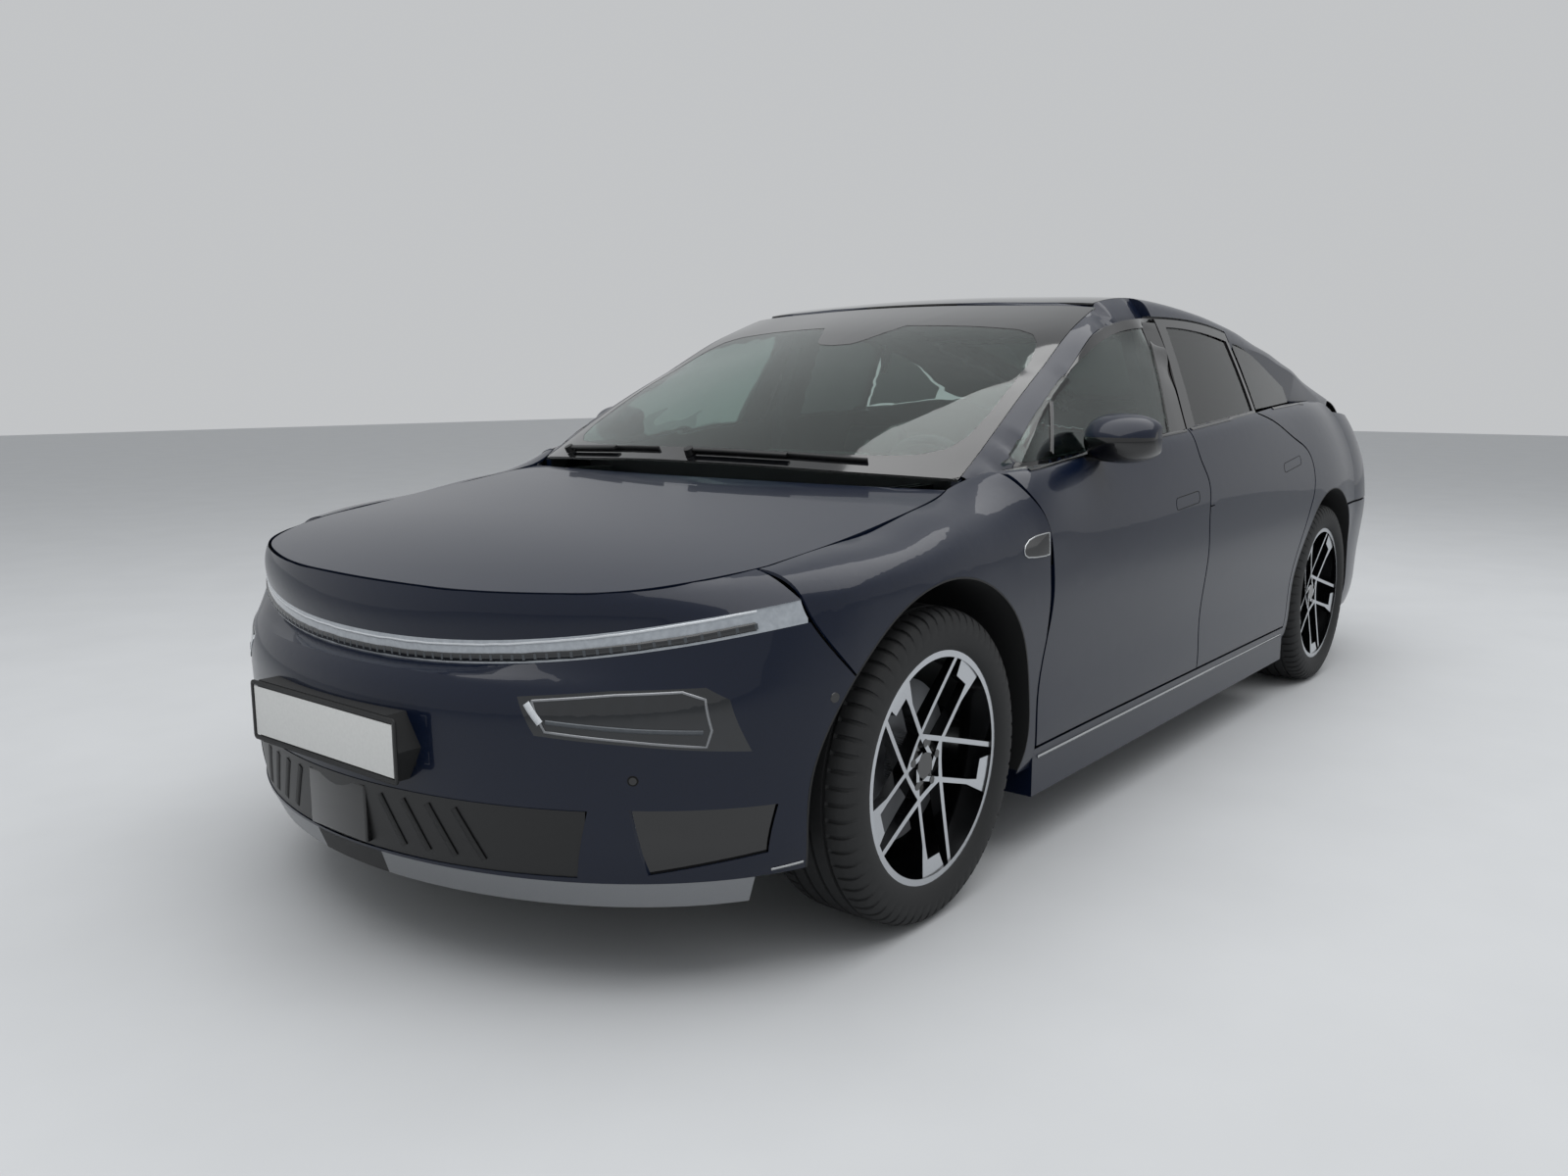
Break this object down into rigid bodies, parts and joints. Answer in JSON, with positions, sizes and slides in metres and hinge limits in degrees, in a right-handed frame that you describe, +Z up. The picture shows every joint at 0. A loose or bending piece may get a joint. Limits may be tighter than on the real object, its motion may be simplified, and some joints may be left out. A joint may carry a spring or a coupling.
{
  "type": "sedan car",
  "caption": "Long low electric sedan with a full-width light bar, glass roof, opening doors, bonnet and tailgate, steered front wheels and a furnished cabin.",
  "frame": {"origin": "on the ground, in the middle of the car's length and width", "axes": "+X ahead, +Y to the car's left, +Z up"},
  "size_m": [5.0861, 2.124, 1.5136],
  "materials": {
    "paint": "gloss",
    "structure": "satin",
    "clear_glass": "gloss",
    "roof_glass": "gloss",
    "smoked_lens": "gloss",
    "bar_lens": "gloss",
    "red_lens": "gloss",
    "black_plastic": "matte",
    "gloss_black": "gloss",
    "silver_trim": "satin",
    "tyre": "matte",
    "rim_metal": "machined",
    "cast_metal": "cast",
    "pack_metal": "satin",
    "seat_leather": "matte",
    "dash_plastic": "matte"
  },
  "bodies": {
    "shell": {"body_side_left": "paint", "body_side_right": "paint", "front_wings": "paint", "quarter_glasses": "clear_glass", "cabin_frame": "paint", "roof_panel": "roof_glass", "screen": "clear_glass", "corner_lamps": "red_lens", "rear_bumper": "paint", "cowl": "black_plastic", "front_bumper": "paint", "nose_cap": "paint", "light_bar": "bar_lens", "head_lamps": "smoked_lens", "grille": "black_plastic", "side_vents": "black_plastic", "bumper_lip": "silver_trim", "plate_carrier": "gloss_black", "subframes": "cast_metal", "wheel_liners": "black_plastic", "floor_pan": "structure", "battery": "pack_metal", "drive_unit": "pack_metal", "front_seats": "seat_leather", "rear_seat": "seat_leather", "dashboard": "dash_plastic", "steering_wheel": "seat_leather"},
    "door_front_left": {"door_front_left": "paint", "glass_front_left": "clear_glass", "mirror_left": "paint"},
    "door_front_right": {"door_front_right": "paint", "glass_front_right": "clear_glass", "mirror_right": "paint"},
    "door_rear_left": {"door_rear_left": "paint", "glass_rear_left": "clear_glass"},
    "door_rear_right": {"door_rear_right": "paint", "glass_rear_right": "clear_glass"},
    "bonnet": {"bonnet": "paint"},
    "tailgate": {"tailgate": "paint", "rear_screen": "clear_glass", "gate_lamp": "red_lens"},
    "knuckle_left": {"knuckle_left": "cast_metal"},
    "knuckle_right": {"knuckle_right": "cast_metal"},
    "wheel_front_left": {"rim_front_left": "rim_metal", "tyre_front_left": "tyre"},
    "wheel_front_right": {"rim_front_right": "rim_metal", "tyre_front_right": "tyre"},
    "wheel_rear_left": {"rim_rear_left": "rim_metal", "tyre_rear_left": "tyre"},
    "wheel_rear_right": {"rim_rear_right": "rim_metal", "tyre_rear_right": "tyre"}
  },
  "joints": [
    {"name": "door_front_left_hinge", "type": "hinge", "parent": "shell", "child": "door_front_left", "pos_m": [1.071, 0.94198, 0.72], "axis": [0, 0, -1], "range_deg": [0, 70]},
    {"name": "door_front_right_hinge", "type": "hinge", "parent": "shell", "child": "door_front_right", "pos_m": [1.071, -0.94198, 0.72], "axis": [0, 0, 1], "range_deg": [0, 70]},
    {"name": "door_rear_left_hinge", "type": "hinge", "parent": "shell", "child": "door_rear_left", "pos_m": [-0.033, 0.94316, 0.72], "axis": [0, 0, -1], "range_deg": [0, 70]},
    {"name": "door_rear_right_hinge", "type": "hinge", "parent": "shell", "child": "door_rear_right", "pos_m": [-0.033, -0.94316, 0.72], "axis": [0, 0, 1], "range_deg": [0, 70]},
    {"name": "bonnet_hinge", "type": "hinge", "parent": "shell", "child": "bonnet", "pos_m": [1.303, 0, 0.94884], "axis": [0, -1, 0], "range_deg": [0, 55]},
    {"name": "tailgate_hinge", "type": "hinge", "parent": "shell", "child": "tailgate", "pos_m": [-0.8025, 0, 1.42102], "axis": [0, 1, 0], "range_deg": [0, 75]},
    {"name": "steer_left", "type": "hinge", "parent": "shell", "child": "knuckle_left", "pos_m": [1.603, 0.764, 0.364], "axis": [0, 0, 1], "range_deg": [-35, 35]},
    {"name": "spin_front_left", "type": "hinge", "parent": "knuckle_left", "child": "wheel_front_left", "pos_m": [1.603, 0.824, 0.364], "axis": [0, 1, 0], "continuous": true},
    {"name": "spin_rear_left", "type": "hinge", "parent": "shell", "child": "wheel_rear_left", "pos_m": [-1.397, 0.824, 0.364], "axis": [0, 1, 0], "continuous": true},
    {"name": "steer_right", "type": "hinge", "parent": "shell", "child": "knuckle_right", "pos_m": [1.603, -0.764, 0.364], "axis": [0, 0, 1], "range_deg": [-35, 35]},
    {"name": "spin_front_right", "type": "hinge", "parent": "knuckle_right", "child": "wheel_front_right", "pos_m": [1.603, -0.824, 0.364], "axis": [0, 1, 0], "continuous": true},
    {"name": "spin_rear_right", "type": "hinge", "parent": "shell", "child": "wheel_rear_right", "pos_m": [-1.397, -0.824, 0.364], "axis": [0, 1, 0], "continuous": true}
  ],
  "couplings": [
    {"joint": "steer_right", "follows": "steer_left", "ratio": 1}
  ]
}
